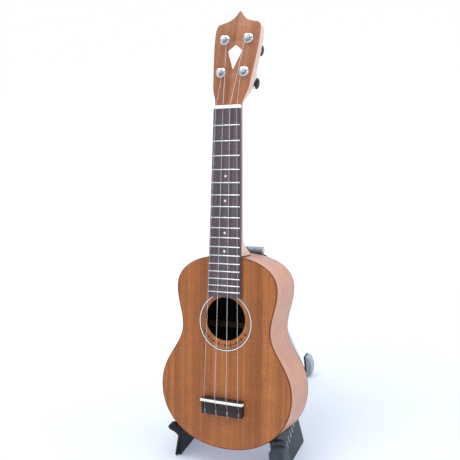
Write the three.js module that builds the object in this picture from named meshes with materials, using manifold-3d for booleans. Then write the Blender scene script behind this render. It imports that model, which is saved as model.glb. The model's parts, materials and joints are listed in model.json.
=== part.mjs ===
// Soprano ukulele on a small folding stand. Millimetres, +Z up, front towards -Y.
//
// The ukulele and the stand's front frame are drawn in a leaning frame:
//   x to the viewer's right, y up along the neck (0 at the nut), z out of the face.
// The fretboard's playing face is z = 0. The leaning frame is then tipped back as a whole.
import * as THREE from 'three';
import { mergeVertices } from 'three/addons/utils/BufferGeometryUtils.js';
import Module from 'manifold-3d';

const wasm = await Module();
wasm.setup();

// ---- main sizes ----
const LEAN = THREE.MathUtils.degToRad(18);
const NUT_HEIGHT = 415.8;
const SCALE_LENGTH = 345;
const FRET_COUNT = 17;
const NUT_HALF = 17.25;
const BOARD_TAPER = 4.05 / 215.8;
const TOP_Z = -5;
const BODY_DEPTH = 56;
const BACK_Z = TOP_Z - BODY_DEPTH;
const BODY_TOP_Y = -172.5;
const HOLE_Y = -248.5;
const HOLE_R = 26;
const SADDLE_Y = -347;
const SADDLE_TOP = 4.8;
const SADDLE_DROP = 0.8;
const BRIDGE_TOP = 3;
const BOARD_END_Y = -222;
const HEAD_TILT = THREE.MathUtils.degToRad(14);
const HEAD_THICK = 12;
const HEAD_START_Z = -3;
const STRING_R = 0.36;
const GAP = 0.1;

// posts on the head: x, distance up the head
const POSTS = [[-15, 45.5], [-15.5, 87.5], [15.5, 87.5], [15, 45.5]];
const WORM_DROP = 7.5;
const WORM_DEPTH = -19.2;
const GEAR_R = 4.9;
const GEAR_TEETH = 14;

// stand: hinge axis in the leaning frame, feet in the upright frame
const HINGE_Y = -169.5;
const HINGE_Z = -72;
const HINGE_R = 4.6;
const ARM_SPREAD = THREE.MathUtils.degToRad(12.3);
const FOOT_X = 70.3;
const FRAME_FRONT_Z = -63;
const FRAME_REAR_Z = -80;

// ---- materials ----
function paint(color, roughness, metalness = 0) {
  return new THREE.MeshStandardMaterial({ color, roughness, metalness });
}
const mahogany = paint(0xa96a3c, 0.5);
const paleMahogany = paint(0xc4967c, 0.55);
const rosewood = paint(0x4a3935, 0.6);
const bone = paint(0xf1efe6, 0.4);
const pearl = paint(0xe6e3da, 0.35);
const nickel = paint(0xc9ccd0, 0.25, 1);
const nylon = paint(0xe9edf0, 0.3);
const spruce = paint(0xc8a878, 0.7);
const blackPlastic = paint(0x3a4248, 0.45);
const rubber = paint(0x1c1e20, 0.85);
const buttonBlack = paint(0x17181a, 0.3);
const aluminium = paint(0xc8d0d8, 0.35, 1);

// Turn a slab drawn in x, y: one so that it runs along x, one so that it stands and faces the front.
const ALONG_X = new THREE.Matrix4().makeBasis(
  new THREE.Vector3(0, 1, 0), new THREE.Vector3(0, 0, 1), new THREE.Vector3(1, 0, 0));
const FACING_FRONT = new THREE.Matrix4().makeBasis(
  new THREE.Vector3(1, 0, 0), new THREE.Vector3(0, 0, 1), new THREE.Vector3(0, -1, 0));

// ---- solids ----
function toManifold(geometry) {
  const plain = geometry.index ? geometry.toNonIndexed() : geometry.clone();
  plain.deleteAttribute('normal');
  plain.deleteAttribute('uv');
  const merged = mergeVertices(plain, 1e-4);
  const mesh = new wasm.Mesh({
    numProp: 3,
    vertProperties: new Float32Array(merged.attributes.position.array),
    triVerts: new Uint32Array(merged.index.array),
  });
  return new wasm.Manifold(mesh);
}

function toGeometry(manifold) {
  const mesh = manifold.getMesh();
  const geometry = new THREE.BufferGeometry();
  geometry.setAttribute('position', new THREE.BufferAttribute(new Float32Array(mesh.vertProperties), 3));
  geometry.setIndex(new THREE.BufferAttribute(new Uint32Array(mesh.triVerts), 1));
  geometry.computeVertexNormals();
  return geometry;
}

function union(first, ...rest) {
  return toGeometry(rest.reduce((sum, next) => sum.add(toManifold(next)), toManifold(first)));
}

function cut(first, ...rest) {
  return toGeometry(rest.reduce((left, next) => left.subtract(toManifold(next)), toManifold(first)));
}

const overlap = (first, second) => toGeometry(toManifold(first).intersect(toManifold(second)));

function box(x0, x1, y0, y1, z0, z1) {
  const block = new THREE.BoxGeometry(x1 - x0, y1 - y0, z1 - z0);
  return block.translate((x0 + x1) / 2, (y0 + y1) / 2, (z0 + z1) / 2);
}

// A flat shape in x, y given thickness from z0 to z1.
function slab(shape, z0, z1, curveSegments = 12) {
  const settings = { depth: z1 - z0, bevelEnabled: false, curveSegments };
  return new THREE.ExtrudeGeometry(shape, settings).translate(0, 0, z0);
}

function polygon(points) {
  return new THREE.Shape(points.map(([x, y]) => new THREE.Vector2(x, y)));
}

// A polygon with every corner rounded by the same radius.
function roundedPolygon(points, radius) {
  const shape = new THREE.Shape();
  const corner = points.map((p) => new THREE.Vector2(...p));
  corner.forEach((here, i) => {
    const before = corner[(i + corner.length - 1) % corner.length];
    const after = corner[(i + 1) % corner.length];
    const reach = Math.min(radius, here.distanceTo(before) / 2.2, here.distanceTo(after) / 2.2);
    const enter = here.clone().add(before.clone().sub(here).setLength(reach));
    const leave = here.clone().add(after.clone().sub(here).setLength(reach));
    if (i === 0) shape.moveTo(enter.x, enter.y);
    else shape.lineTo(enter.x, enter.y);
    shape.quadraticCurveTo(here.x, here.y, leave.x, leave.y);
  });
  shape.closePath();
  return shape;
}

function cylinder(radius, length, segments = 20) {
  return new THREE.CylinderGeometry(radius, radius, length, segments);
}

// Joins rings of equal point count into a closed skin with flat ends.
function loft(rings) {
  const count = rings[0].length;
  const position = rings.flat().flatMap((p) => [p.x, p.y, p.z]);
  const index = [];
  for (let r = 0; r + 1 < rings.length; r += 1) {
    for (let i = 0; i < count; i += 1) {
      const a = r * count + i;
      const b = r * count + ((i + 1) % count);
      index.push(a, b, b + count, a, b + count, a + count);
    }
  }
  const last = (rings.length - 1) * count;
  for (let i = 1; i + 1 < count; i += 1) {
    index.push(0, i + 1, i);
    index.push(last, last + i, last + i + 1);
  }
  const geometry = new THREE.BufferGeometry();
  geometry.setAttribute('position', new THREE.Float32BufferAttribute(position, 3));
  geometry.setIndex(index);
  geometry.computeVertexNormals();
  return geometry;
}

// A round rod that follows a list of points.
function rod(points, radius, sides = 6) {
  let side = new THREE.Vector3(0, 0, 1);
  const rings = points.map((point, i) => {
    const ahead = points[Math.min(i + 1, points.length - 1)].clone();
    const along = ahead.sub(points[Math.max(i - 1, 0)]).normalize();
    side = side.clone().addScaledVector(along, -side.dot(along)).normalize();
    const other = new THREE.Vector3().crossVectors(along, side);
    return Array.from({ length: sides }, (_, k) => {
      const a = (k / sides) * Math.PI * 2;
      const outward = side.clone().multiplyScalar(Math.cos(a)).addScaledVector(other, Math.sin(a));
      return point.clone().addScaledVector(outward, radius);
    });
  });
  return loft(rings);
}

// ---- body outline, grown (positive) or shrunk (negative) by `by` ----
function bodyOutline(by = 0) {
  const top = BODY_TOP_Y + by;
  const upper = 65.9 + by;
  const waist = 57.9 + by;
  const lower = 86.2 + by;
  const bottom = -405 - by;
  const shape = new THREE.Shape();
  shape.moveTo(0, top);
  shape.bezierCurveTo(-36, top, -upper, -186, -upper, -212);
  shape.bezierCurveTo(-upper, -231, -waist, -243, -waist, -260.7);
  shape.bezierCurveTo(-waist, -285, -lower, -300, -lower, -334.4);
  shape.bezierCurveTo(-lower, -376, -51, bottom, 0, bottom);
  shape.bezierCurveTo(51, bottom, lower, -376, lower, -334.4);
  shape.bezierCurveTo(lower, -300, waist, -285, waist, -260.7);
  shape.bezierCurveTo(waist, -243, upper, -231, upper, -212);
  shape.bezierCurveTo(upper, -186, 36, top, 0, top);
  return shape;
}

function bodyRing(outer, inner, z0, z1) {
  const shape = bodyOutline(outer);
  shape.holes.push(new THREE.Path(bodyOutline(inner).getPoints(12)));
  return slab(shape, z0, z1);
}

const boardHalf = (y) => NUT_HALF - y * BOARD_TAPER;
const fretY = (n) => -SCALE_LENGTH * (1 - 2 ** (-n / 12));

// ---- scene graph ----
const group = new THREE.Group();
const leaning = new THREE.Group();
leaning.rotation.x = Math.PI / 2 - LEAN;
leaning.position.z = NUT_HEIGHT;
group.add(leaning);

function place(parent, name, geometry, material) {
  const mesh = new THREE.Mesh(geometry, material);
  mesh.name = name;
  parent.add(mesh);
  return mesh;
}

// ---- sound box ----
function makeBody() {
  const front = bodyOutline();
  front.holes.push(new THREE.Path().absarc(0, HOLE_Y, HOLE_R, 0, Math.PI * 2, true));
  place(leaning, 'soundboard', slab(front, TOP_Z - 2, TOP_Z), mahogany);
  place(leaning, 'body_sides', bodyRing(0, -2, BACK_Z + 2 + GAP, TOP_Z - 2 - GAP), paleMahogany);
  place(leaning, 'back', slab(bodyOutline(), BACK_Z, BACK_Z + 2), paleMahogany);
  place(leaning, 'lining_upper', bodyRing(-2.6, -6.5, TOP_Z - 8, TOP_Z - 2 - GAP), spruce);
  place(leaning, 'lining_lower', bodyRing(-2.6, -6.5, BACK_Z + 2 + GAP, BACK_Z + 8), spruce);
  const blockBack = BACK_Z + 8.4;
  const blockFront = TOP_Z - 8.4;
  const neckBlock = box(-22, 22, BODY_TOP_Y - 24, BODY_TOP_Y - 6, blockBack, blockFront);
  place(leaning, 'neck_block', neckBlock, spruce);
  place(leaning, 'tail_block', box(-16, 16, -402 + 3, -402 + 15, blockBack, blockFront), spruce);
  place(leaning, 'soundboard_brace', box(-50, 50, -288, -281, TOP_Z - 10, TOP_Z - 2 - GAP), spruce);
  place(leaning, 'back_brace', box(-50, 50, -267, -260, BACK_Z + 2 + GAP, BACK_Z + 9), spruce);
}

// ---- rosette, bridge and saddle ----
function makeBridge() {
  const ring = new THREE.Shape().absarc(0, HOLE_Y - 4, 35, 0, Math.PI * 2, false);
  ring.holes.push(new THREE.Path().absarc(0, HOLE_Y - 4, 32.6, 0, Math.PI * 2, true));
  const underBoard = box(-24, 24, BOARD_END_Y - 0.1, -200, -10, 10);
  place(leaning, 'rosette', cut(slab(ring, TOP_Z + 0.02, TOP_Z + 0.3, 24), underBoard), pearl);

  const bridgeCorners = [[-26.7, -343.5], [-26.7, -363.5], [26.7, -363.5], [26.7, -343.5]];
  const bridgeShape = roundedPolygon(bridgeCorners, 2);
  const slots = STRING_X.map(([, x]) => box(x - 1.1, x + 1.1, -370, SADDLE_Y, 0.4, 5));
  const saddleSlot = box(-30, 30, SADDLE_Y - 1.7, SADDLE_Y + 1.7, -2, 5);
  place(leaning, 'bridge', cut(slab(bridgeShape, TOP_Z + GAP, BRIDGE_TOP, 4), saddleSlot, ...slots), rosewood);
  const saddleEnd = SADDLE_TOP - SADDLE_DROP;
  const saddlePoints = [[-28, -1.9], [28, -1.9], [28, saddleEnd], [0, SADDLE_TOP], [-28, saddleEnd]];
  const saddleShape = roundedPolygon(saddlePoints, 1.2);
  const saddle = slab(saddleShape, -1.5, 1.5, 4).rotateX(Math.PI / 2).translate(0, SADDLE_Y, 0);
  place(leaning, 'saddle', saddle, bone);
}

// ---- neck, head, fretboard, nut and frets ----
// The neck's sections are a flat top with a deep rounded underside.
function neckSection(y, half, depth) {
  const steps = 14;
  return Array.from({ length: steps + 1 }, (_, i) => {
    const a = (i / steps) * Math.PI;
    const x = half * Math.sign(Math.cos(a)) * Math.abs(Math.cos(a)) ** 0.8;
    return new THREE.Vector3(x, y, TOP_Z - 0.1 - depth * Math.sin(a) ** 0.85);
  });
}

function headOutline() {
  const half = [[17.4, -1], [17.6, 6]];
  const shape = new THREE.Shape();
  shape.moveTo(-half[0][0], half[0][1]);
  shape.lineTo(half[0][0], half[0][1]);
  shape.lineTo(half[1][0], half[1][1]);
  shape.bezierCurveTo(18.6, 16, 23, 20, 23.9, 31);
  shape.bezierCurveTo(25.2, 46, 29.2, 70, 29.6, 92);
  shape.bezierCurveTo(29.7, 101, 29.6, 107, 25.4, 109);
  shape.bezierCurveTo(18, 110.5, 7, 112.5, 2.4, 122);
  shape.quadraticCurveTo(0, 127.5, -2.4, 122);
  shape.bezierCurveTo(-7, 112.5, -18, 110.5, -25.4, 109);
  shape.bezierCurveTo(-29.6, 107, -29.7, 101, -29.6, 92);
  shape.bezierCurveTo(-29.2, 70, -25.2, 46, -23.9, 31);
  shape.bezierCurveTo(-23, 20, -18.6, 16, -half[1][0], half[1][1]);
  return shape;
}

const headFrame = new THREE.Group();
headFrame.position.z = HEAD_START_Z;
headFrame.rotation.x = -HEAD_TILT;
leaning.add(headFrame);
headFrame.updateMatrix();

function makeNeck() {
  const sections = [
    [9, 17.3, 11], [0, 17.25, 12.5], [-12, 17.5, 12.8], [-80, 18.8, 13.6], [-132, 19.7, 14.6],
    [-149, 19.9, 16], [-157, 20, 20.5], [-163, 20.1, 29.5], [-167.5, 20.2, 39.5], [BODY_TOP_Y + 0.2, 20.3, 49],
  ];
  const shaft = loft(sections.map(([y, half, depth]) => neckSection(y, half, depth)).reverse());
  const head = slab(headOutline(), -HEAD_THICK, 0, 8).applyMatrix4(headFrame.matrix);
  const holes = POSTS.map(([x, s]) => cylinder(4.6, 60, 20).rotateX(Math.PI / 2).translate(x, s, 0)
    .applyMatrix4(headFrame.matrix));
  const boardSeat = box(-40, 40, -200, 4.4, TOP_Z - 0.1, 20);
  place(leaning, 'neck', cut(union(shaft, head), boardSeat, ...holes), paleMahogany);
  const nutSection = roundedPolygon([[0.1, -5], [4.2, -5], [4.2, 0.4], [0.1, 1.05]], 0.6);
  place(leaning, 'nut', slab(nutSection, -16.8, 16.8, 3).applyMatrix4(ALONG_X), bone);
}

function makeFretboard() {
  const end = boardHalf(BOARD_END_Y);
  const start = boardHalf(0);
  const plank = polygon([[-start, 0], [-end, BOARD_END_Y], [end, BOARD_END_Y], [start, 0]]);
  place(leaning, 'fretboard', slab(plank, TOP_Z + GAP, 0), rosewood);
  const crown = new THREE.Shape().absarc(0, 0.05, 0.8, 0, Math.PI, false);
  for (let n = 1; n <= FRET_COUNT; n += 1) {
    const half = boardHalf(fretY(n)) - 0.3;
    const fret = slab(crown, -half, half, 4).applyMatrix4(ALONG_X);
    place(leaning, `fret_${String(n).padStart(2, '0')}`, fret.translate(0, fretY(n), 0), nickel);
  }
}

// ---- strings: x at the nut, x at the saddle ----
const STRING_X = [[-13.5, -22.5], [-4, -7.5], [5, 7.5], [14, 22.5]];
const WIND_R = 3.8;

function makeString(k) {
  const [nutX, saddleX] = STRING_X[k];
  const [postX, postS] = POSTS[k];
  const side = Math.sign(postX);
  const crown = (x) => SADDLE_TOP - Math.abs(x) * SADDLE_DROP / 28 + STRING_R + 0.1;
  const path = [
    new THREE.Vector3(saddleX, -363, 1.2),
    new THREE.Vector3(saddleX, -352.5, 1.9),
    new THREE.Vector3(saddleX, SADDLE_Y - 1.6, crown(saddleX) - 0.2),
    new THREE.Vector3(saddleX, SADDLE_Y, crown(saddleX)),
    new THREE.Vector3(nutX, 0.4, 1.6),
    new THREE.Vector3(nutX, 2.4, 1.45),
  ];
  const turns = 2.25;
  const steps = 27;
  for (let i = 0; i <= steps; i += 1) {
    const a = Math.PI - (i / steps) * turns * Math.PI * 2;
    const wound = new THREE.Vector3(side * Math.cos(a), Math.sin(a), 0).multiplyScalar(WIND_R);
    path.push(wound.add(new THREE.Vector3(postX, postS, 3 + i * 0.07)).applyMatrix4(headFrame.matrix));
  }
  place(leaning, `string_${k + 1}`, rod(path, STRING_R), nylon);
}

// ---- tuners ----
function gear(radius, teeth, thickness) {
  const points = [];
  for (let i = 0; i < teeth; i += 1) {
    for (const [share, r] of [[0, radius - 1], [0.3, radius - 1], [0.42, radius], [0.78, radius]]) {
      const a = ((i + share) / teeth) * Math.PI * 2;
      points.push([r * Math.cos(a), r * Math.sin(a)]);
    }
  }
  return slab(polygon(points), -thickness / 2, thickness / 2);
}

function makeTuner(k) {
  const [x, s] = POSTS[k];
  const side = Math.sign(x);
  const tuner = new THREE.Group();
  tuner.position.set(x, s, 0);
  headFrame.add(tuner);

  const upright = (g) => g.rotateX(Math.PI / 2);
  const tube = upright(cylinder(4.3, 15.4, 20)).translate(0, 0, -5.3);
  const flange = upright(cylinder(5.1, 1.2, 6)).translate(0, 0, 1);
  const shell = box(-6.4, 6.4, -12.5, 8.2, -24.2, -HEAD_THICK - 0.3);
  const hollow = box(-5.5, 5.5, -11.5, 7.2, -23.3, -HEAD_THICK - 1.5);
  const bore = upright(cylinder(3.3, 60, 20));
  const shaftBore = cylinder(2.1, 10, 16).rotateZ(Math.PI / 2).translate(side * 8, -WORM_DROP, WORM_DEPTH);
  const boreTop = overlap(bore, box(-9, 9, -9, 9, -20, 30));
  const housing = cut(union(cut(shell, hollow), tube, flange), boreTop, shaftBore);
  place(tuner, `tuner_housing_${k + 1}`, housing, nickel);

  const post = new THREE.Group();
  tuner.add(post);
  const stem = upright(cylinder(3, 29.3, 18)).translate(0, 0, -7.85);
  const cap = upright(new THREE.CylinderGeometry(2, 3, 0.9, 18)).translate(0, 0, 7.2);
  const rounded = union(stem, cap, gear(GEAR_R, GEAR_TEETH, 3.4).translate(0, 0, WORM_DEPTH));
  place(post, `tuner_post_${k + 1}`, rounded, nickel);

  const button = new THREE.Group();
  button.position.set(0, -WORM_DROP, WORM_DEPTH);
  tuner.add(button);
  const shaft = cylinder(1.8, 9.4, 14).rotateZ(Math.PI / 2).translate(side * 3.6, 0, 0);
  const worm = cylinder(2.2, 9, 14).rotateZ(Math.PI / 2);
  const paddle = new THREE.SphereGeometry(1, 18, 12).scale(2.9, 7, 4.2).translate(side * 9.7, 0, 0);
  place(button, `tuner_button_${k + 1}`, union(shaft, worm, paddle), buttonBlack);
}

// ---- stand, front frame ----
// The space that the ukulele fills, plus a gap. Its rim is extended out of the face.
const ukuleleSpace = (gap) => slab(bodyOutline(gap), BACK_Z - 1, 40);
const uprightToLeaning = new THREE.Matrix4();

// Foot panel seen from the side (y, z), then the front edge and the right toe seen from the front (x, z).
// The panels carry the weight, and the edge and the toe stop just above the floor.
const PANEL_POINTS = [[-113, 0], [-42.5, 0], [-37.5, 38], [-29, 72.5], [-44, 72.5], [-53, 52], [-113, 60]];
const EDGE_POINTS = [
  [75.6, 0.7], [71.2, 0.7], [62.6, 29], [59, 37], [60, 47.5], [64, 44.8], [70, 46.5], [75, 46.1], [78.6, 42.5],
  [77.8, 39], [73.6, 37.1], [68.3, 34.5], [66, 31],
];
const TOE_POINTS = [[61, 0.4], [59.8, 22], [59.8, 36], [65, 40.5], [75.5, 42.5], [78.5, 38], [80.5, 0.4]];

// One leg of the front frame: strip, hinge barrel, foot panel, thin front edge with its horn.
function makeArm(side, name) {
  const fromHinge = (down, across) => [
    side * (13 + down * Math.sin(ARM_SPREAD) + across * Math.cos(ARM_SPREAD)),
    HINGE_Y - down * Math.cos(ARM_SPREAD) + across * Math.sin(ARM_SPREAD),
  ];
  const strip = polygon([
    fromHinge(8, 6), fromHinge(3.6, -1), fromHinge(3.6, -6), fromHinge(236, -8), fromHinge(236, 5),
  ]);
  const arm = slab(side > 0 ? strip : polygon(strip.getPoints().reverse()), FRAME_REAR_Z, FRAME_FRONT_Z);
  const barrel = cylinder(HINGE_R, 11, 24).rotateZ(Math.PI / 2).translate(side * 13.7, HINGE_Y, HINGE_Z);

  const panel = slab(roundedPolygon(PANEL_POINTS, 4), -2.3, 2.3, 4).applyMatrix4(ALONG_X);
  const lean = new THREE.Matrix4().makeShear(0, 0, 0, 0, -side * Math.tan(ARM_SPREAD), 0);
  panel.applyMatrix4(lean).translate(side * FOOT_X, 0, 0).applyMatrix4(uprightToLeaning);

  const mirrored = (points) => (side > 0 ? points.toReversed() : points.map(([x, z]) => [-x, z]));
  const edge = slab(roundedPolygon(mirrored(EDGE_POINTS), 2), 105.5, 114.5, 4);
  edge.applyMatrix4(FACING_FRONT).applyMatrix4(uprightToLeaning);
  const solids = [panel, edge, barrel];
  if (side > 0) {
    const toe = slab(roundedPolygon(mirrored(TOE_POINTS), 4), 104, 123, 4);
    solids.push(toe.applyMatrix4(FACING_FRONT).applyMatrix4(uprightToLeaning));
  }

  const pinBore = cylinder(2.6, 80, 20).rotateZ(Math.PI / 2).translate(0, HINGE_Y, HINGE_Z);
  const barSeat = box(-40, 40, -199, -165, FRAME_FRONT_Z - 5.1, 0);
  const middle = box(-8.2, 8.2, -200, -150, -100, 0);
  const solid = union(arm, ...solids);
  place(leaning, name, cut(solid, ukuleleSpace(2.2), pinBore, barSeat, middle), blackPlastic);

  const padEnds = side > 0 ? [57, 69] : [-69, -57];
  const padBlock = box(...padEnds, -410, -340, BACK_Z + 3, TOP_Z - 3);
  const padRing = cut(slab(bodyOutline(2), BACK_Z - 5, 10), slab(bodyOutline(0.3), -90, 30));
  place(leaning, name.replace('arm', 'seat_pad'), overlap(padRing, padBlock), rubber);
}

function makeHinge() {
  const bar = slab(roundedPolygon([[-32, -197], [32, -197], [26, -174], [-26, -174]], 3),
    FRAME_FRONT_Z - 5, FRAME_FRONT_Z, 3);
  place(leaning, 'hinge_bar', bar, blackPlastic);
  const pad = slab(roundedPolygon([[-24, -195], [24, -195], [21, -178], [-21, -178]], 3),
    FRAME_FRONT_Z + 0.1, BACK_Z - 0.3, 3);
  place(leaning, 'back_pad', pad, rubber);
  const pin = cylinder(2.3, 40.4, 20).rotateZ(Math.PI / 2).translate(0, HINGE_Y, HINGE_Z);
  place(leaning, 'hinge_pin', pin, nickel);
}

// ---- stand, rear frame, in the upright frame ----
function makeRearFrame() {
  const hinge = new THREE.Vector3(0, HINGE_Y, HINGE_Z).applyMatrix4(leaning.matrix);
  const knuckleBarrel = cylinder(HINGE_R, 15.4, 24).rotateZ(Math.PI / 2);
  const tongue = box(-7.7, 7.7, -3, 2.4, -30, 0).rotateX(THREE.MathUtils.degToRad(21.5));
  const bore = cylinder(2.6, 30, 20).rotateZ(Math.PI / 2);
  const knuckle = cut(union(knuckleBarrel, tongue), bore).translate(hinge.x, hinge.y, hinge.z);
  place(group, 'rear_knuckle', knuckle, blackPlastic);

  const down = new THREE.Vector3(0, 106.5, 8.6).sub(hinge).setX(0);
  const swing = Math.atan2(down.y, -down.z);
  for (const side of [-1, 1]) {
    const word = side < 0 ? 'left' : 'right';
    const strutSolid = (grow) => loft([
      strutRing(side * 4.6, 5.1, -12 + grow, 2.8 + grow, 2 + grow),
      strutRing(side * 16, 0, -down.length() - grow, 5.2 + grow, 2 + grow),
    ]).rotateX(swing).translate(hinge.x, hinge.y, hinge.z);
    const block = slab(footOutline(side), -117, -104, 5).applyMatrix4(FACING_FRONT);
    place(group, `rear_strut_${word}`, strutSolid(0), aluminium);
    place(group, `rear_foot_${word}`, cut(block, strutSolid(0.2)), rubber);
  }
}

// Across a strut: a flat bar centred on x, y at height z below the hinge.
function strutRing(x, y, z, half, thick) {
  const corners = [[-half, thick], [half, thick], [half, -thick], [-half, -thick]];
  return corners.map(([dx, dy]) => new THREE.Vector3(x + dx, y + dy, z));
}

// Front view of a rear foot: a shelf under the strut and a cheek that bulges outward.
function footOutline(side) {
  const shape = new THREE.Shape();
  shape.moveTo(side * 10, 0);
  shape.lineTo(side * 26.5, 0);
  shape.bezierCurveTo(side * 33.8, 3, side * 35, 25, side * 28, 32.5);
  shape.lineTo(side * 23, 32.5);
  shape.lineTo(side * 23, 10);
  shape.lineTo(side * 10, 10);
  return shape;
}

leaning.updateMatrix();
uprightToLeaning.copy(leaning.matrix).invert();
makeBody();
makeBridge();
makeNeck();
makeFretboard();
for (let k = 0; k < 4; k += 1) {
  makeString(k);
  makeTuner(k);
}
makeArm(-1, 'arm_left');
makeArm(1, 'arm_right');
makeHinge();
makeRearFrame();

// The origin is under the middle of the whole object, on the floor.
group.updateMatrixWorld(true);
const bounds = new THREE.Box3().setFromObject(group, true);
group.position.set(-(bounds.min.x + bounds.max.x) / 2, -(bounds.min.y + bounds.max.y) / 2, -bounds.min.z);

export default group;
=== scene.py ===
"""Soprano ukulele on a folding stand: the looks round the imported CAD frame. Blender 4.5, metres.

Most pieces are drawn in millimetres in the ukulele's own frame (u right, v up the neck, w out of the
face) and carried into the row frame by TO_WORLD. HEAD is the tilted headstock's frame.
"""

import json
import math

import bpy
import bmesh
from mathutils import Matrix, Vector

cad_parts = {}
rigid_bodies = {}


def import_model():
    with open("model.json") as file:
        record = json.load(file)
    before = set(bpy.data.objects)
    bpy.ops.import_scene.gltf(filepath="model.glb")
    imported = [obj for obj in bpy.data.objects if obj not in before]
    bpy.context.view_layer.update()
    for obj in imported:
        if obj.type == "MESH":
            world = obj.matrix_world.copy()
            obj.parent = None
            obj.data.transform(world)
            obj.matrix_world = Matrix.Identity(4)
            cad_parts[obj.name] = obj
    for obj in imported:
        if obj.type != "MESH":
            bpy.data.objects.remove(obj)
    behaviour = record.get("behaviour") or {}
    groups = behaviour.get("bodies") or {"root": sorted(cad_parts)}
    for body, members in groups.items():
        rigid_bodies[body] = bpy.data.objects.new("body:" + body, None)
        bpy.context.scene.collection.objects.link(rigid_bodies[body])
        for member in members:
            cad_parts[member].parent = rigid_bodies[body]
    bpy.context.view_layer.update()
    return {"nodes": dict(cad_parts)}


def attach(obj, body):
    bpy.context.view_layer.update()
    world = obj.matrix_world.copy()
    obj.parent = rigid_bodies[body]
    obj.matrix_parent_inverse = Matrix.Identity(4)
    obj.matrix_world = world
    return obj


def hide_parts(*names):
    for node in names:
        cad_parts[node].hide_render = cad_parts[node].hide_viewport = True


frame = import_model()

# ---- frames: SHIFT_Y and NUT_HEIGHT are in metres, HEAD_DROP is in millimetres ----
MM = Matrix.Scale(0.001, 4)
NECK_SLOPE = math.radians(72)
SHIFT_Y = 0.003
NUT_HEIGHT = 0.4158
HEAD_DROP = 3
HEAD_TILT = math.radians(14)
TO_WORLD = Matrix.Translation((0, SHIFT_Y, NUT_HEIGHT)) @ Matrix.Rotation(NECK_SLOPE, 4, "X") @ MM
HEAD = TO_WORLD @ Matrix.Translation((0, 0, -HEAD_DROP)) @ Matrix.Rotation(-HEAD_TILT, 4, "X")
UPRIGHT = Matrix.Translation((0, SHIFT_Y, 0)) @ MM
ALONG_U = Matrix(((0, 0, 1, 0), (1, 0, 0, 0), (0, 1, 0, 0), (0, 0, 0, 1)))
FACING_FRONT = Matrix(((1, 0, 0, 0), (0, 0, -1, 0), (0, 1, 0, 0), (0, 0, 0, 1)))

# ---- sizes, as in the CAD ----
SCALE_LENGTH = 345
FRETS = 17
DOTTED_FRETS = (5, 7, 10, 12)
NUT_HALF = 17.25
BOARD_TAPER = 4.05 / 215.8
BOARD_END = -222
TOP_W = -5
BACK_W = -61
PLATE = 2
HOLE_V = -248.5
HOLE_R = 26
HEAD_THICK = 12
VENEER = 1.6
BRIDGE_HALF = 26.7
BRIDGE_FRONT = -343.5
BRIDGE_BACK = -363.5
SADDLE_HALF = 28
SADDLE_V = -347
SADDLE_TOP = 4.8
SADDLE_DROP = 0.8
BRIDGE_TOP = 3
STRING_U = ((-13.5, -22.5), (-4, -7.5), (5, 7.5), (14, 22.5))
STRING_RADII = (0.24, 0.3, 0.32, 0.25)
POSTS = ((-15, 45.5), (-15.5, 87.5), (15.5, 87.5), (15, 45.5))
WORM_DROP = 7.5
WORM_DEPTH = -19.2
HINGE_V = -169.5
HINGE_W = -72
HINGE_R = 4.6
ARM_BACK = -80
ARM_FRONT = -63
FOOT_X = 70.3
SPREAD = math.radians(12.3)
REAR_SOLE = (0, 106.5, 8.6)


def board_half(v):
    return NUT_HALF - v * BOARD_TAPER


def fret_v(n):
    return -SCALE_LENGTH * (1 - 2 ** (-n / 12))


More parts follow.
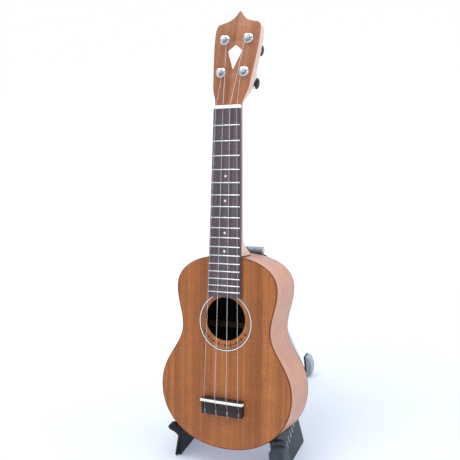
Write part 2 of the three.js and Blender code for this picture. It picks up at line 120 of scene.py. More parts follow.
# ---- node materials ----
class Paint:
    """Builds one material's nodes. Positions are millimetres in the frame given by `space`."""

    def __init__(self, name, space=None):
        self.material = bpy.data.materials.new(name)
        self.material.use_nodes = True
        self.tree = self.material.node_tree
        self.shader = self.tree.nodes["Principled BSDF"]
        self.place = self.position(space or TO_WORLD)

    def add(self, kind, **values):
        node = self.tree.nodes.new("ShaderNode" + kind)
        for key, value in values.items():
            if hasattr(node, key):
                setattr(node, key, value)
            else:
                node.inputs[key.replace("_", " ")].default_value = value
        return node

    def join(self, source, target):
        self.tree.links.new(source, target)

    def feed(self, value, socket):
        """Links another node's output, or sets a plain number or colour."""
        if isinstance(value, bpy.types.NodeSocket):
            self.join(value, socket)
        else:
            socket.default_value = (*value, 1) if isinstance(value, tuple) else value

    def position(self, space):
        place, turn, size = space.decompose()
        mapping = self.add("Mapping", vector_type="TEXTURE", Location=place,
                           Rotation=turn.to_euler(), Scale=size)
        self.join(self.add("TexCoord").outputs["Object"], mapping.inputs["Vector"])
        return mapping.outputs["Vector"]

    def stretched(self, scale):
        mapping = self.add("Mapping", Scale=scale)
        self.join(self.place, mapping.inputs["Vector"])
        return mapping.outputs["Vector"]

    def noise(self, scale, detail=2.0, rough=0.5, distort=0.0):
        node = self.add("TexNoise", Scale=1.0, Detail=detail, Roughness=rough, Distortion=distort)
        self.join(self.stretched(scale), node.inputs["Vector"])
        return node.outputs["Fac"]

    def ramp(self, source, *stops):
        node = self.add("ValToRGB")
        band = node.color_ramp
        while len(band.elements) < len(stops):
            band.elements.new(0.5)
        for element, (at, colour) in zip(band.elements, stops):
            element.position = at
            element.color = (*colour, 1)
        self.join(source, node.inputs["Fac"])
        return node.outputs["Color"]

    def grey(self, source, low, high, at=(0.35, 0.65)):
        return self.ramp(source, (at[0], (low,) * 3), (at[1], (high,) * 3))

    def mix(self, one, two, share=0.5, blend="MIX"):
        node = self.add("Mix", data_type="RGBA", blend_type=blend)
        for value, number in ((share, 0), (one, 6), (two, 7)):
            self.feed(value, node.inputs[number])
        return node.outputs[2]

    def math(self, operation, one, two):
        node = self.add("Math", operation=operation)
        self.feed(one, node.inputs[0])
        self.feed(two, node.inputs[1])
        return node.outputs[0]

    def bump(self, height, strength, distance):
        node = self.add("Bump", Strength=strength, Distance=distance)
        self.join(height, node.inputs["Height"])
        self.join(node.outputs["Normal"], self.shader.inputs["Normal"])

    def finish(self, colour, roughness, **values):
        for name, value in {"Base_Color": colour, "Roughness": roughness, **values}.items():
            self.feed(value, self.shader.inputs[name.replace("_", " ")])
        return self.material


def rgb(red, green, blue):
    """A colour given as 0 to 255 display values."""
    shares = [value / 255 for value in (red, green, blue)]
    return tuple(((c + 0.055) / 1.055) ** 2.4 if c > 0.04045 else c / 12.92 for c in shares)


def wood(name, dark, mid, light, pore, along="v", space=None, bands=0.05, shine=0.42, pores=0.5,
         streaks=0.2, specks=0.3, seed=0.0, lacquer=0.0):
    """Open-pored wood: ribbon bands, fibres and short pores that run along one axis."""
    paint = Paint(name, space)
    slow = {"v": (1, 0.04, 1), "rim": (0.03, 0.03, 1), "u": (0.04, 1, 1)}[along]

    def grain(size, stretch=1.0):
        return tuple(size * (s if s == 1 else s * stretch) for s in slow)

    moved = paint.add("VectorMath", operation="ADD")
    paint.join(paint.place, moved.inputs[0])
    moved.inputs[1].default_value = (seed, seed * 1.7, seed * 0.6)
    paint.place = moved.outputs[0]
    band = paint.noise(grain(bands, 0.7), 3, 0.55, 0.4)
    stripe = paint.noise(grain(bands * 5, 0.35), 2, 0.5, 0.25)
    fibre = paint.noise(grain(1.6, 0.6), 4, 0.65)
    figure = paint.noise(tuple(0.035 * (1 if s == 1 else 1.6) for s in slow), 2, 0.5, 0.8)
    tone = paint.mix(paint.mix(band, stripe, 0.42), fibre, 0.25)
    colour = paint.ramp(tone, (0.3, dark), (0.5, mid), (0.7, light))
    streak = paint.grey(paint.noise(grain(0.14, 0.25), 1, 0.5), 1.0, 1 - streaks, (0.56, 0.66))
    colour = paint.mix(colour, streak, 1.0, "MULTIPLY")
    speck = paint.noise(grain(1.0, 11), 2, 0.7)
    colour = paint.mix(colour, paint.grey(speck, 1 - specks, 1.0, (0.36, 0.6)), 1.0, "MULTIPLY")
    colour = paint.mix(colour, paint.grey(figure, 0.86, 1.0), 0.8, "MULTIPLY")
    short = paint.noise(grain(2.2, 4.5), 2, 0.6)
    pit = paint.grey(short, 1.0, 0.0, (0.36, 0.44))
    colour = paint.mix(colour, pore, paint.math("MULTIPLY", pit, pores))
    rough = paint.math("ADD", paint.math("MULTIPLY", fibre, 0.16), shine - 0.06)
    paint.bump(paint.math("SUBTRACT", paint.math("MULTIPLY", fibre, 0.5), pit), 0.22, 0.00006)
    return paint.finish(colour, rough, Specular_IOR_Level=0.4, Coat_Weight=lacquer, Coat_Roughness=0.3)


def moulded(name, colour, roughness=0.42, fine=9.0, worn=0.12, specular=0.5):
    """Moulded plastic or rubber: fine spark texture, cloudy gloss and slightly lighter worn patches."""
    paint = Paint(name)
    spark = paint.noise((fine,) * 3, 2, 0.6)
    cloud = paint.noise((0.05,) * 3, 3, 0.55)
    lighter = tuple(min(1, c * (1 + worn * 2.2) + 0.01) for c in colour)
    tint = paint.ramp(cloud, (0.35, colour), (0.75, lighter))
    rough = paint.math("ADD", paint.math("MULTIPLY", cloud, 0.18), roughness - 0.08)
    paint.bump(spark, 0.25, 0.00005)
    return paint.finish(tint, rough, Specular_IOR_Level=specular)


def metal(name, colour, roughness, brushed=0.0, space=None):
    """Plated or brushed metal with faint smears in its gloss."""
    paint = Paint(name, space)
    smear = paint.noise((0.25, 0.25, 0.25), 4, 0.6)
    lines = paint.noise((6, 6, 0.12), 2, 0.5)
    rough = paint.math("ADD", paint.math("MULTIPLY", smear, 0.12), roughness - 0.05)
    paint.bump(lines, brushed, 0.00003)
    return paint.finish(paint.mix(colour, tuple(c * 0.86 for c in colour), smear), rough, Metallic=1.0)


def smooth_white(name, colour, shade, roughness, translucent=0.0, alpha=1.0):
    """Bone or nylon: faint streaks under a polished skin."""
    paint = Paint(name)
    streak = paint.noise((0.6, 0.6, 0.12), 3, 0.5)
    tint = paint.ramp(streak, (0.35, shade), (0.6, colour))
    rough = paint.math("ADD", paint.math("MULTIPLY", streak, 0.1), roughness - 0.05)
    return paint.finish(tint, rough, Subsurface_Weight=translucent, Subsurface_Scale=0.002, Alpha=alpha)


def pearl_look(name):
    """Shell: cells of slightly different whites, pinks and greens."""
    paint = Paint(name)
    cell = paint.add("TexVoronoi", Scale=1.0, Randomness=1.0)
    paint.join(paint.stretched((0.35, 0.35, 0.35)), cell.inputs["Vector"])
    cloud = paint.noise((0.5, 0.5, 0.5), 3, 0.6, 1.5)
    tint = paint.ramp(cloud, (0.3, rgb(200, 208, 206)), (0.5, rgb(240, 238, 232)),
                      (0.7, rgb(222, 210, 214)))
    tint = paint.mix(tint, cell.outputs["Color"], 0.06)
    return paint.finish(tint, 0.22, Coat_Weight=0.4, Coat_Roughness=0.08)


FACE_DARK, FACE_MID, FACE_LIGHT = rgb(130, 66, 29), rgb(180, 105, 50), rgb(208, 136, 72)
FACE_PORE = rgb(66, 34, 20)
MAT = {
    "face": wood("face_mahogany", FACE_DARK, FACE_MID, FACE_LIGHT, FACE_PORE),
    "head": wood("head_mahogany", FACE_DARK, rgb(174, 107, 65), rgb(200, 140, 96), FACE_PORE, space=HEAD,
                 pores=0.65, streaks=0.05, specks=0.34, seed=31),
    # Painted light: the sides are the face's mahogany painted paler and pinker, a lit copy for the bright
    # light on them.
    "side": wood("side_mahogany_painted_lit", rgb(174, 116, 91), rgb(193, 136, 109), rgb(208, 154, 128),
                 rgb(144, 92, 70), along="rim", bands=0.02, shine=0.46, streaks=0.05, specks=0.1,
                 lacquer=0.5),
    "back": wood("back_mahogany", rgb(150, 96, 68), rgb(180, 124, 92), rgb(202, 152, 120),
                 rgb(112, 68, 46), seed=77),
    # Painted light: the neck and the head's back are the same mahogany painted pale, a lit copy for the
    # strong light from the right.
    "neck": wood("neck_mahogany_painted_lit", rgb(188, 148, 130), rgb(213, 178, 161), rgb(227, 196, 181),
                 rgb(164, 124, 106), bands=0.04, shine=0.5, pores=0.3, streaks=0.06, specks=0.08, seed=12,
                 lacquer=0.5),
    "rosewood": wood("dry_rosewood", rgb(62, 51, 54), rgb(98, 84, 88), rgb(130, 116, 122),
                     rgb(42, 33, 35), bands=0.2, shine=0.55, pores=0.7, seed=5),
    "bridge": wood("bridge_rosewood", rgb(30, 20, 20), rgb(44, 31, 31), rgb(64, 48, 50), rgb(16, 11, 11),
                   along="u", bands=0.12, shine=0.5, pores=0.7, seed=9),
    # Painted shade: the inner blocks and braces are spruce painted dark brown for the shade inside the box.
    "spruce": wood("spruce_painted_shade", rgb(72, 52, 34), rgb(92, 70, 48), rgb(110, 88, 62), rgb(52, 36, 22),
                   along="u", bands=0.3, shine=0.65, pores=0.2),
    "bone": smooth_white("polished_bone", rgb(246, 245, 240), rgb(232, 229, 218), 0.3, 0.15),
    "pearl": pearl_look("shell_pearl"),
    "nylon": smooth_white("clear_nylon", rgb(226, 224, 232), rgb(196, 196, 206), 0.28, 0.2, 0.55),
    "nickel": metal("bright_nickel", rgb(214, 217, 222), 0.16),
    "fret": metal("fret_nickel", rgb(222, 224, 228), 0.24),
    "aluminium": metal("satin_aluminium", rgb(214, 224, 236), 0.34, 0.3, UPRIGHT),
    "plastic": moulded("charcoal_plastic", rgb(15, 17, 20), 0.36, worn=0.1, specular=0.16),
    # Painted light: the same charcoal plastic as the left arm, painted lighter as a lit copy for the right
    # arm.
    "panel": moulded("plastic_painted_lit", rgb(42, 49, 57), 0.4, worn=0.1, specular=0.34),
    "hinge": moulded("hinge_plastic", rgb(142, 150, 161), 0.34),
    # Painted highlight: the raised bars are the panel's plastic painted pale grey for their glints.
    "rib": moulded("rib_painted_glint", rgb(136, 144, 154), 0.3),
    "rubber": moulded("matt_rubber", rgb(30, 33, 36), 0.7, 4.0),
    "foot": moulded("foot_rubber", rgb(142, 151, 158), 0.4, 4.0),
    "knot": smooth_white("knotted_nylon", rgb(214, 208, 212), rgb(178, 172, 178), 0.3),
    "button": moulded("gloss_button", rgb(20, 21, 24), 0.22, 3.0, 0.05),
    "dark_line": moulded("dark_purfling", rgb(46, 30, 24), 0.5, 4.0),
    # Painted shade: a dark reddish band along the face's rounded edge.
    "edge_shade": moulded("face_edge_painted_shade", rgb(112, 52, 26), 0.6, 4.0, specular=0.1),
    "inside": moulded("shaded_inside", rgb(22, 18, 17), 0.8, 4.0, specular=0.15),
}


# ---- pieces ----
def finish_piece(name, mesh, body, material, hides=(), smooth=40):
    """Makes the mesh a piece that rides on a body, and hides the CAD nodes it stands for."""
    piece = bpy.data.objects.new(name, mesh)
    bpy.context.scene.collection.objects.link(piece)
    mesh.materials.clear()
    mesh.materials.append(MAT[material])
    mesh.polygons.foreach_set("use_smooth", [True] * len(mesh.polygons))
    mesh.set_sharp_from_angle(angle=math.radians(smooth))
    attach(piece, body)
    if hides:
        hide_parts(*hides)


def as_mesh(name, matrix, build):
    bm = bmesh.new()
    build(bm)
    bmesh.ops.transform(bm, matrix=matrix, verts=bm.verts)
    bmesh.ops.recalc_face_normals(bm, faces=bm.faces)
    mesh = bpy.data.meshes.new(name)
    bm.to_mesh(mesh)
    bm.free()
    return mesh


def plate(name, outlines, low, high, matrix, edge=0.0, rings=3):
    """A flat shape with rounded edges. The first outline is the outside, the others are holes."""
    curve = bpy.data.curves.new(name, "CURVE")
    curve.dimensions = "2D"
    curve.fill_mode = "BOTH"
    curve.extrude = (high - low) / 2 - edge
    curve.bevel_depth = edge
    curve.bevel_resolution = rings if edge else 0
    curve.offset = -edge
    for outline in outlines:
        spline = curve.splines.new("POLY")
        spline.points.add(len(outline) - 1)
        for point, (x, y) in zip(spline.points, outline):
            point.co = (x, y, 0, 1)
        spline.use_cyclic_u = True
    return curve_mesh(name, curve, matrix @ Matrix.Translation((0, 0, (low + high) / 2)))


def curve_mesh(name, curve, matrix):
    holder = bpy.data.objects.new(name, curve)
    bpy.context.scene.collection.objects.link(holder)
    evaluated = holder.evaluated_get(bpy.context.evaluated_depsgraph_get())
    mesh = bpy.data.meshes.new_from_object(evaluated)
    bpy.data.objects.remove(holder)
    bpy.data.curves.remove(curve)
    bm = bmesh.new()
    bm.from_mesh(mesh)
    bmesh.ops.remove_doubles(bm, verts=bm.verts, dist=1e-4)
    bmesh.ops.dissolve_degenerate(bm, edges=bm.edges, dist=1e-5)
    bmesh.ops.transform(bm, matrix=matrix, verts=bm.verts)
    bmesh.ops.recalc_face_normals(bm, faces=bm.faces)
    bm.to_mesh(mesh)
    bm.free()
    mesh.name = name
    return mesh


def cord_mesh(name, points, radius, matrix, sides=3):
    """A round line through points, closed at its ends."""
    curve = bpy.data.curves.new(name, "CURVE")
    curve.dimensions = "3D"
    curve.bevel_depth = radius
    curve.bevel_resolution = sides
    curve.use_fill_caps = True
    spline = curve.splines.new("POLY")
    spline.points.add(len(points) - 1)
    for point, place in zip(spline.points, points):
        point.co = (*place, 1)
    return curve_mesh(name, curve, matrix)


def loft(sections):
    """Skins closed rings of equal count, with flat ends."""

    def build(bm):
        rings = [[bm.verts.new(p) for p in ring] for ring in sections]
        for one, two in zip(rings, rings[1:]):
            for i in range(len(one)):
                j = (i + 1) % len(one)
                bm.faces.new((one[i], one[j], two[j], two[i]))
        bm.faces.new(list(reversed(rings[0])))
        bm.faces.new(rings[-1])

    return build


def turned(profile, segments=40):
    """Spins (radius, height) points round z. The profile runs from axis to axis or ends where it starts."""

    def build(bm):
        rings = []
        for radius, height in profile:
            if radius < 1e-6:
                rings.append([bm.verts.new((0, 0, height))])
                continue
            turn = [2 * math.pi * k / segments for k in range(segments)]
            rings.append([bm.verts.new((radius * math.cos(a), radius * math.sin(a), height)) for a in turn])
        for one, two in zip(rings, rings[1:]):
            for k in range(segments):
                after = (k + 1) % segments
                corners = [one[k % len(one)], one[after % len(one)], two[after % len(two)], two[k % len(two)]]
                unique = list(dict.fromkeys(corners))
                if len(unique) > 2:
                    bm.faces.new(unique)

    return build


def bezier(points, steps):
    a, b, c, d = (Vector(p) for p in points)
    out = []
    for i in range(steps):
        t = i / steps
        s = 1 - t
        out.append(a * s**3 + b * 3 * s * s * t + c * 3 * s * t * t + d * t**3)
    return [tuple(p) for p in out]


def mirrored(half):
    """Closes a half outline that starts and ends on u = 0."""
    return half + [(-x, y) for x, y in reversed(half[1:-1])]


def body_outline(by=0.0, steps=22):
    """The figure-eight outline, moved out by a distance."""
    top, upper, waist, lower, bottom = -172.5 + by, 65.9 + by, 57.9 + by, 86.2 + by, -405 - by
    half = bezier(((0, top), (36, top), (upper, -186), (upper, -212)), steps)
    half += bezier(((upper, -212), (upper, -231), (waist, -243), (waist, -260.7)), steps)
    half += bezier(((waist, -260.7), (waist, -285), (lower, -300), (lower, -334.4)), steps)
    half += bezier(((lower, -334.4), (lower, -376), (51, bottom), (0, bottom)), steps)
    return mirrored(half + [(0, bottom)])


def arc(centre, radius, start, end, steps):
    turn = [math.radians(start + (end - start) * i / steps) for i in range(steps + 1)]
    return [(centre[0] + radius * math.cos(a), centre[1] + radius * math.sin(a)) for a in turn]


def circle(centre, radius, steps=96):
    return arc(centre, radius, 0, 360, steps)[:-1]


def rounded(points, radius, steps=5):
    """Rounds a polygon's corners."""
    out = []
    corners = [Vector(p) for p in points]
    for i, here in enumerate(corners):
        before, after = corners[i - 1], corners[(i + 1) % len(corners)]
        reach = min(radius, (before - here).length / 2.2, (after - here).length / 2.2)
        enter, leave = here + (before - here).normalized() * reach, here + (after - here).normalized() * reach
        for k in range(steps + 1):
            t = k / steps
            out.append(tuple(enter * (1 - t) ** 2 + here * 2 * t * (1 - t) + leave * t * t))
    return out


# ---- sound box ----
def make_body():
    hole = circle((0, HOLE_V), HOLE_R)
    mesh = plate("face_plate", [body_outline(), hole], TOP_W - PLATE, TOP_W, TO_WORLD, 0.95, 4)
    finish_piece("face_plate", mesh, "ukulele", "face", ["soundboard"])
    mesh = plate("rim", [body_outline(-0.05), body_outline(-2)], BACK_W + 2.02, TOP_W - 2.02,
                 TO_WORLD)
    finish_piece("rim", mesh, "ukulele", "side", ["body_sides"])
    mesh = plate("back_plate", [body_outline()], BACK_W, BACK_W + PLATE, TO_WORLD, 0.8)
    finish_piece("back_plate", mesh, "ukulele", "back", ["back"])
    # Painted shade: a thin dark ring round the face's edge.
    mesh = plate("face_edge_shade_band", [body_outline(0.05), body_outline(-1.5)], TOP_W - 2.3, TOP_W + 0.02,
                 TO_WORLD, 0.55)
    finish_piece("face_edge_shade_band", mesh, "ukulele", "edge_shade")
    # Painted shade: near-black sheets inside the back and the rim darken the box as seen through the
    # soundhole.
    for name, outlines, low, high in (
        ("back_inner_shade", [body_outline(-2.3)], BACK_W + 2.05, BACK_W + 2.25),
        ("side_inner_shade", [body_outline(-2.05), body_outline(-2.45)], BACK_W + 2.3, TOP_W - 2.3),
    ):
        finish_piece(name, plate(name, outlines, low, high, TO_WORLD), "ukulele", "inside")
    finish_piece("hole_marks", plate("hole_marks", hole_marks(), TOP_W + 0.01, TOP_W + 0.06, TO_WORLD),
                 "ukulele", "dark_line")
    centre = (0, HOLE_V - 4)
    for name, outer, inner, material, slot in (
        ("rosette_pearl", 34.45, 33.3, "pearl", "pearl"),
        ("rosette_edge_out", 35.1, 34.47, "dark_line", "rosewood"),
        ("rosette_edge_in", 33.28, 32.6, "dark_line", "rosewood"),
    ):
        start = math.degrees(math.asin((BOARD_END - centre[1] + 1) / outer))
        ring = arc(centre, outer, start, -180 - start, 120) + arc(centre, inner, -180 - start, start, 120)
        mesh = plate(name, [ring], TOP_W + 0.01, TOP_W + 0.13, TO_WORLD)
        hides = ["rosette"] if name == "rosette_pearl" else ()
        finish_piece(name, mesh, "ukulele", material, hides)


def hole_marks():
    """Plain burnt lozenges and bars, by turns, on an arc under the soundhole."""
    marks = []
    for n in range(17):
        wide, tall = (1.9, 0.7) if n % 2 else (1.5, 2.3)
        turn = Matrix.Rotation(math.radians(-150 + 7.5 * n), 2)
        corners = [(30.4 - tall, 0), (30.4, -wide), (30.4 + tall, 0), (30.4, wide)]
        marks.append([tuple(turn @ Vector(p) + Vector((0, HOLE_V - 1))) for p in corners])
    return marks


# ---- neck, head and fretboard ----
def head_outline(steps=14):
    half = [(0, -1), (17.4, -1), (17.6, 6)]
    half += bezier(((17.6, 6), (18.6, 16), (23, 20), (23.9, 31)), steps)[1:]
    half += bezier(((23.9, 31), (25.2, 46), (29.2, 70), (29.6, 92)), steps)
    half += bezier(((29.6, 92), (29.7, 101), (29.6, 107), (25.4, 109)), steps)
    half += bezier(((25.4, 109), (18, 110.5), (7, 112.5), (2.4, 122)), steps)
    half += bezier(((2.4, 122), (1.6, 123.8), (0.8, 124.7), (0, 124.7)), 5) + [(0, 124.7)]
    return mirrored(half)


# Distance along the neck, half width and depth, from under the nut to the heel.
NECK_STATIONS = (
    (6, 17.3, 11.6), (0, 17.25, 12.5), (-12, 17.5, 12.8), (-46, 18.1, 13.2), (-80, 18.8, 13.6),
    (-132, 19.7, 14.6), (-149, 19.9, 16), (-157, 20, 20.5), (-163, 20.1, 29.5), (-167.5, 20.2, 39.5),
    (-172.45, 20.3, 49),
)


def neck_sections(between=4):
    """Smooth sections through the stations."""
    last = len(NECK_STATIONS) - 1
    sections = []
    for i in range(last):
        corners = [NECK_STATIONS[n] for n in (max(i - 1, 0), i, i + 1, min(i + 2, last))]
        for k in range(between):
            sections.append(neck_section(*(catmull(*row, k / between) for row in zip(*corners))))
    sections.append(neck_section(*NECK_STATIONS[-1]))
    return sections


def neck_section(v, half, depth, steps=36):
    """A flat top over a deep rounded underside."""
    ring = []
    for i in range(steps + 1):
        a = math.pi * i / steps
        u = half * math.copysign(abs(math.cos(a)) ** 0.8, math.cos(a))
        ring.append((u, v, TOP_W - 0.1 - depth * math.sin(a) ** 0.85))
    return ring


def make_neck():
    mesh = as_mesh("neck_shaft", TO_WORLD, loft(neck_sections()))
    finish_piece("neck_shaft", mesh, "ukulele", "neck", ["neck"])
    holes = [circle(post, 4.6, 40) for post in POSTS]
    start = clipped_head(head_outline())
    mesh = plate("head_blank", [start] + holes, -HEAD_THICK, -VENEER, HEAD, 0.8)
    draw_in(mesh)
    finish_piece("head_blank", mesh, "ukulele", "neck")
    mesh = plate("head_face", [start] + holes, -1.65, 0, HEAD, 0.6)
    finish_piece("head_face", mesh, "ukulele", "head")
    kite = rounded([(0, 80.5), (9.4, 73), (0, 49), (-9.4, 73)], 1.6)
    mesh = plate("head_inlay", [kite], -0.3, 0.1, HEAD, 0.04)
    finish_piece("head_inlay", mesh, "ukulele", "pearl")
    mesh = plate("heel_cap", [heel_cap_outline()], 0, 1.5, heel_cap_frame(), 0.4)
    finish_piece("heel_cap", mesh, "ukulele", "rosewood")


def draw_in(mesh):
    """Narrows the back of the head toward the neck's round section next to the nut."""
    to_head = HEAD.inverted()
    for vertex in mesh.vertices:
        place = to_head @ vertex.co
        near = min(1, max(0, (31 - place.y) / 26.4))
        deep = min(1, max(0, (-VENEER - place.z) / (HEAD_THICK - VENEER)))
        place.x *= 1 - 0.35 * near * near * (3 - 2 * near) * deep
        vertex.co = HEAD @ place


def catmull(a, b, c, d, t):
    """The Catmull-Rom curve from b to c."""
    return b + 0.5 * t * (c - a + t * (2 * a - 5 * b + 4 * c - d + t * (3 * (b - c) + d - a)))


def clipped_head(outline):
    """The head starts just past the nut."""
    return [(x, max(y, 4.6)) for x, y in outline]


def heel_cap_frame():
    return TO_WORLD @ Matrix.Translation((0, -172.4, -55.2)) @ Matrix.Rotation(math.radians(180), 4, "Y")


def heel_cap_outline():
    return [(-8, 0), (8, 0)] + arc((0, 0), 8, 0, 180, 16)[1:-1]


def make_fretboard():
    end = board_half(BOARD_END)
    outline = [(-NUT_HALF, -0.05), (-end, BOARD_END), (end, BOARD_END), (NUT_HALF, -0.05)]
    mesh = plate("fretboard_plank", [outline], TOP_W + 0.05, 0, TO_WORLD, 0.35)
    finish_piece("fretboard_plank", mesh, "ukulele", "rosewood", ["fretboard"])
    for n in DOTTED_FRETS:
        middle = (0, (fret_v(n) + fret_v(n - 1)) / 2)
        mesh = plate(f"dot_{n:02d}", [circle(middle, 1.5, 32)], -0.3, 0.06, TO_WORLD, 0.03)
        finish_piece(f"dot_{n:02d}", mesh, "ukulele", "pearl")
    for n in range(1, FRETS + 1):
        half = board_half(fret_v(n)) - 0.3
        crown = [(fret_v(n) + x, y) for x, y in arc((0, 0.02), 0.8, 0, 180, 14)]
        mesh = plate(f"fret_wire_{n:02d}", [crown], -half, half, TO_WORLD @ ALONG_U, 0.25, 2)
        finish_piece(f"fret_wire_{n:02d}", mesh, "ukulele", "fret", [f"fret_{n:02d}"])
    profile = rounded([(0.1, -5), (4.3, -5), (4.3, 0.45), (0.1, 1.1)], 0.6)
    mesh = plate("nut_bone", [profile], -16.85, 16.85, TO_WORLD @ ALONG_U, 0.3)
    finish_piece("nut_bone", mesh, "ukulele", "bone", ["nut"])


# ---- bridge and strings ----
def make_bridge():
    blank = rounded([(-BRIDGE_HALF, BRIDGE_FRONT), (-BRIDGE_HALF, BRIDGE_BACK),
                     (BRIDGE_HALF, BRIDGE_BACK), (BRIDGE_HALF, BRIDGE_FRONT)], 2)
    base = plate("bridge_base", [blank], TOP_W + 0.05, 0.4, TO_WORLD, 0.5)
    finish_piece("bridge_base", base, "ukulele", "bridge", ["bridge"])
    edges = [-BRIDGE_HALF] + [x + d for _, x in STRING_U for d in (-1.1, 1.1)] + [BRIDGE_HALF]
    for n in range(len(edges) // 2):
        low, high = edges[2 * n], edges[2 * n + 1]
        for word, near, far, top in (("tall", -348.9, -355.6, BRIDGE_TOP),
                                     ("ledge", -355.2, -363.4, 2)):
            block = rounded([(low, near), (low, far), (high, far), (high, near)], 0.7)
            mesh = plate(f"bridge_{word}_{n + 1}", [block], -0.6, top, TO_WORLD, 0.45)
            finish_piece(f"bridge_{word}_{n + 1}", mesh, "ukulele", "bridge")
    front = rounded([(-BRIDGE_HALF, BRIDGE_FRONT), (-BRIDGE_HALF, BRIDGE_FRONT - 1.8),
                     (BRIDGE_HALF, BRIDGE_FRONT - 1.8), (BRIDGE_HALF, BRIDGE_FRONT)], 0.7)
    mesh = plate("bridge_lip", [front], -0.6, BRIDGE_TOP, TO_WORLD, 0.5)
    finish_piece("bridge_lip", mesh, "ukulele", "bridge")
    side = SADDLE_TOP - SADDLE_DROP
    profile = rounded([(-SADDLE_HALF, -1.9), (SADDLE_HALF, -1.9), (SADDLE_HALF, side), (0, SADDLE_TOP),
                       (-SADDLE_HALF, side)], 1.4)
    upright = TO_WORLD @ Matrix.Translation((0, SADDLE_V, 0)) @ Matrix.Rotation(math.radians(90), 4, "X")
    mesh = plate("saddle_bone", [profile], -1.5, 1.5, upright, 0.6)
    finish_piece("saddle_bone", mesh, "ukulele", "bone", ["saddle"])


def make_string(k, turns=2.75, around_r=3.05, steps=66):
    """One string from its knot over saddle and nut, wound on its post."""
    (nut_u, saddle_u), (post_u, post_s) = STRING_U[k], POSTS[k]
    radius = STRING_RADII[k]
    side = math.copysign(1, post_u)
    crown = SADDLE_TOP - abs(saddle_u) * SADDLE_DROP / SADDLE_HALF + radius
    path = [(saddle_u, -361.5, 0.9), (saddle_u, -355.8, 1.3), (saddle_u, -352.5, 2.1),
            (saddle_u, SADDLE_V - 1.7, crown - 0.5), (saddle_u, SADDLE_V - 0.7, crown - 0.06),
            (saddle_u, SADDLE_V + 0.6, crown), (nut_u, 0.4, 1.55), (nut_u, 2.2, 1.4), (nut_u, 3.8, 1.0)]
    onto_head = TO_WORLD.inverted() @ HEAD
    for i in range(steps + 1):
        a = math.pi - i / steps * turns * 2 * math.pi
        around = Vector((post_u + side * around_r * math.cos(a), post_s + around_r * math.sin(a),
                         2.6 + 2 * i / steps))
        path.append(tuple(onto_head @ around))
    mesh = cord_mesh(f"string_line_{k + 1}", path, radius, TO_WORLD)
    finish_piece(f"string_line_{k + 1}", mesh, "ukulele", "nylon", [f"string_{k + 1}"], smooth=60)
    mesh = cord_mesh(f"string_knot_{k + 1}", knot_path(saddle_u), radius, TO_WORLD)
    finish_piece(f"string_knot_{k + 1}", mesh, "ukulele", "knot", smooth=60)


def knot_path(u, loops=3, last=43):
    """Three loops behind the saddle, then a loose end that hangs over the bridge's back edge."""
    path = []
    for i in range(last + 1):
        a = i / last * 2 * math.pi * loops
        path.append((u + 0.65 * math.cos(a), -357.5 - 4.6 * i / last, 1.5 + 0.6 * math.sin(a)))
    return path + [(u + 0.3, -363.6, 0.8), (u - 0.2, -365, -1.6), (u + 0.5, -365.7, -4.2)]


# ---- tuners: turned parts as (radius, height) points ----
SCREW = [(0, -14.1), (0.5, -14.1), (1.2, -13.9), (1.9, -13.3), (0.9, -12.6), (0.9, -9), (0, -8)]
BUSHING = [(3.35, -12.6), (4.3, -12.6), (4.3, 0.05), (6.1, 0.05), (6.3, 0.3), (6.1, 0.7), (5.2, 0.85),
           (4.9, 1.2), (4.7, 1.9), (4.2, 2.2), (3.7, 2.1), (3.35, 1.7), (3.35, -12.6)]
POST = [(0, -22.4), (3, -22.4), (3, 1.6), (2.7, 2.2), (2.6, 3.6), (2.7, 4.9), (3.3, 5.4), (3.6, 6),
        (3.6, 6.8), (3.2, 7.35), (2.2, 7.65), (1.3, 7.7), (1.2, 7.1), (0, 7)]
COLLAR = [(0, 3.6), (1.8, 3.6), (1.8, 6.5), (2.5, 6.55), (2.7, 6.9), (2.5, 7.3), (1.9, 7.5), (0, 7.5)]
SCREW_PLACES = ((3.8, 10.3), (-3.8, -14.4))


